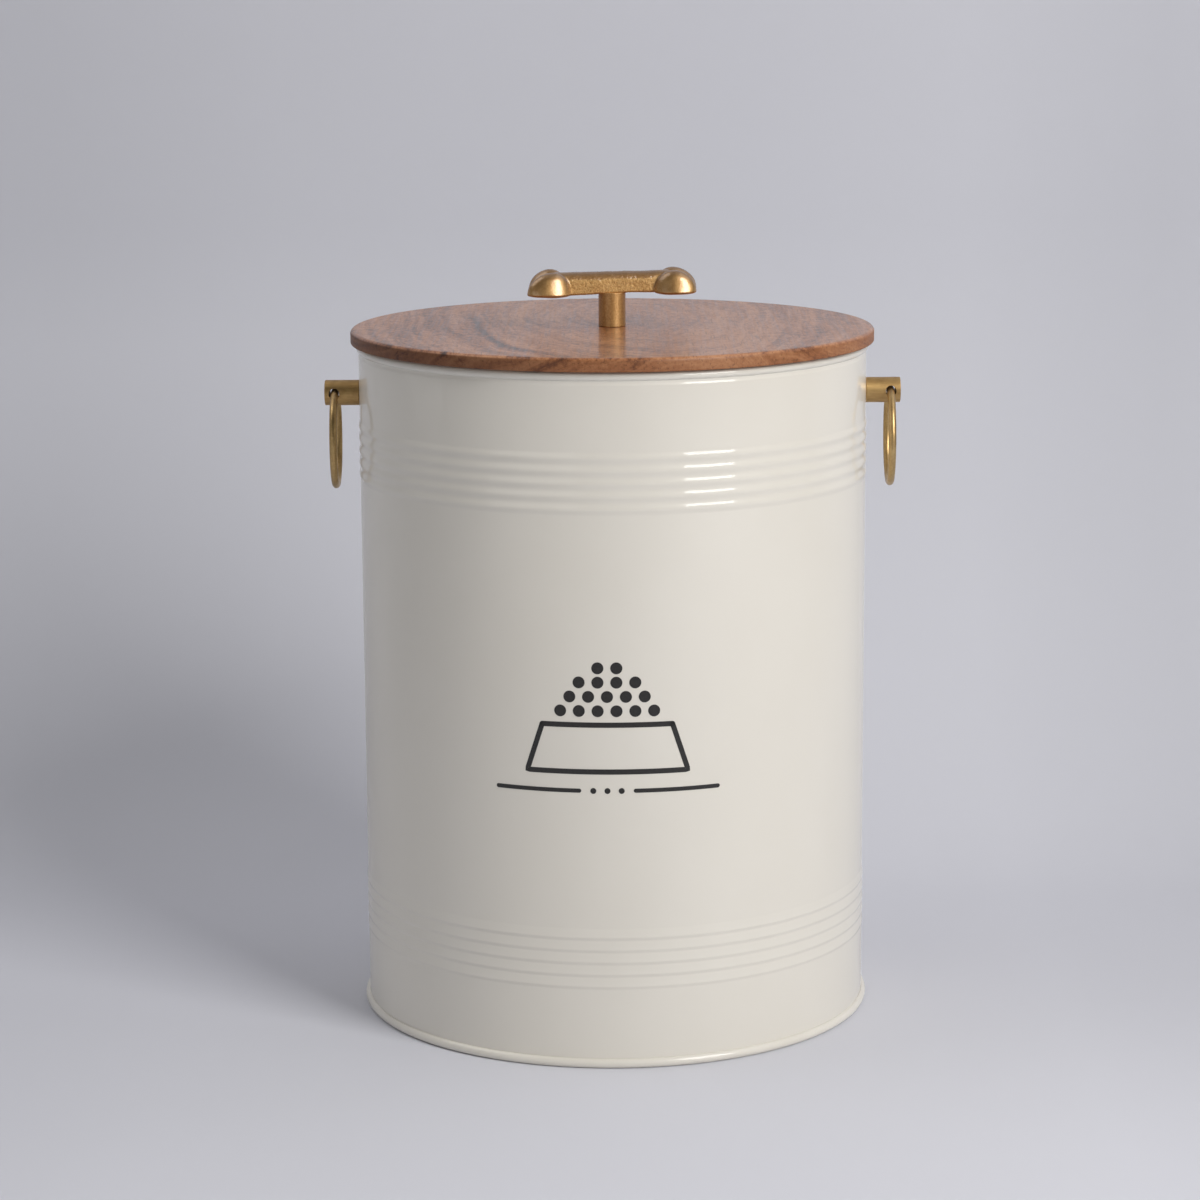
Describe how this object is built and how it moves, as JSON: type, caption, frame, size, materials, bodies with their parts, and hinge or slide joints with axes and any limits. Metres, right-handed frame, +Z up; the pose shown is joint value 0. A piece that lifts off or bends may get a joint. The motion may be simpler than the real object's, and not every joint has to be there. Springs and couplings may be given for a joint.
{
  "type": "pet food bin",
  "caption": "Round ribbed sheet-steel pet food bin with a lift-off wooden lid, a cast bone-shaped handle and a hanging ring on a post at each side.",
  "frame": {"origin": "centre of the foot, on the floor", "axes": "+Z up; the rings hang at -X and +X; the back seam is at +Y, so the front faces -Y"},
  "size_m": [0.341, 0.309, 0.4414],
  "materials": {
    "powder_coat": "semi-gloss cream powder coat",
    "steel_wire": "plain drawn wire",
    "post_brass": "satin antique brass",
    "ring_brass": "polished antique brass wire",
    "stem_brass": "brushed antique brass",
    "cast_brass": "sand-cast antique brass",
    "acacia": "varnished acacia",
    "plug_wood": "sealed plywood",
    "silicone": "translucent white silicone",
    "fastener_steel": "zinc-plated steel"
  },
  "bodies": {
    "bin": {"body_shell": "powder_coat", "rim_wire": "steel_wire", "base_pan": "powder_coat", "left_ring_post": "post_brass", "right_ring_post": "post_brass", "left_post_washer": "fastener_steel", "right_post_washer": "fastener_steel", "left_post_screw": "fastener_steel", "right_post_screw": "fastener_steel"},
    "lid": {"lid_board": "acacia", "lid_plug": "plug_wood", "lid_seal": "silicone", "plug_screws": "fastener_steel", "handle_stem": "stem_brass", "handle_bone": "cast_brass", "handle_washer": "fastener_steel", "handle_screw": "fastener_steel"},
    "left_ring": {"left_ring": "ring_brass"},
    "right_ring": {"right_ring": "ring_brass"}
  },
  "joints": [
    {"name": "lid_lift", "type": "slide", "parent": "bin", "child": "lid", "axis": [0, 0, 1], "range_m": [0, 0.25]},
    {"name": "left_ring_swing", "type": "hinge", "parent": "bin", "child": "left_ring", "pos_m": [-0.1647, 0, 0.3695], "axis": [0, 1, 0], "range_deg": [-11, 192]},
    {"name": "right_ring_swing", "type": "hinge", "parent": "bin", "child": "right_ring", "pos_m": [0.1647, 0, 0.3695], "axis": [0, -1, 0], "range_deg": [-11, 192]}
  ]
}
